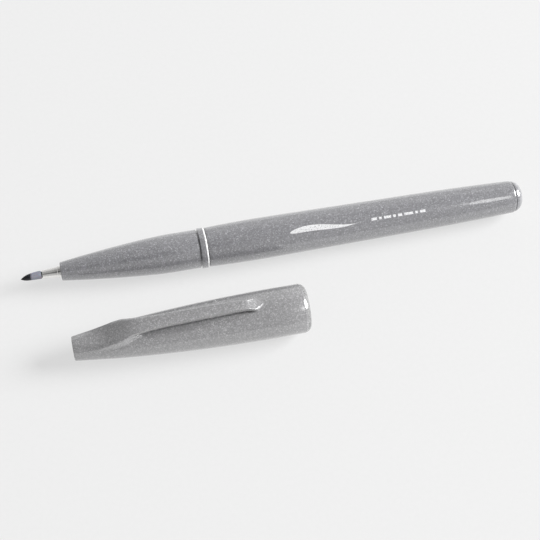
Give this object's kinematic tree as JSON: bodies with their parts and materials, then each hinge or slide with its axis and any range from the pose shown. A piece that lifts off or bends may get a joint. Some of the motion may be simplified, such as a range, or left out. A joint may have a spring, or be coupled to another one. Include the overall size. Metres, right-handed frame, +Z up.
{
  "type": "brush tip marker",
  "caption": "Slim brush-tip marker with a bowed grip, metal ferrule and soft tip, and its pull-off cap with a moulded clip lying beside it.",
  "frame": {"origin": "middle of the footprint of the pen and the cap, on the surface that both lie on", "axes": "+X along the pen from the brush tip to the tail, the cap lies on the -Y side, +Z up"},
  "size_m": [0.135, 0.0342, 0.0149],
  "materials": {
    "barrel_plastic": "pearl grey, satin gloss",
    "cap_plastic": "pearl grey, satin gloss",
    "ferrule": "polished",
    "tip": "translucent soft tip, inked black at the point",
    "felt": "bonded fibre, inked",
    "fibre": "bonded fibre, inked",
    "film": "thin film",
    "natural_plastic": "unpigmented moulding"
  },
  "bodies": {
    "pen": {"nib_ferrule": "ferrule", "nib_shank": "felt", "feed_rod": "felt", "nib_holder": "natural_plastic", "ink_reservoir": "fibre", "reservoir_wrap": "film", "grip_section": "barrel_plastic", "barrel_tube": "barrel_plastic", "tail_plug": "barrel_plastic"},
    "tip": {"brush_tip": "tip"},
    "cap": {"cap_shell": "cap_plastic", "cap_inner_sleeve": "natural_plastic"},
    "clip": {"cap_clip": "cap_plastic"}
  },
  "joints": [
    {"name": "cap_pull", "type": "slide", "parent": "pen", "child": "cap", "axis": [-0.982, 0.1888, -0.0078], "range_m": [0, 0.1181]},
    {"name": "clip_flex", "type": "hinge", "parent": "cap", "child": "clip", "pos_m": [-0.0441, -0.01069, 0.01208], "axis": [0, -1, 0], "range_deg": [0, 4], "stiffness_Nm_per_rad": 2},
    {"name": "tip_flex", "type": "hinge", "parent": "pen", "child": "tip", "pos_m": [-0.0615, 0.01161, 0.00546], "axis": [0, 0, 1], "range_deg": [-15, 15], "stiffness_Nm_per_rad": 0.01}
  ]
}
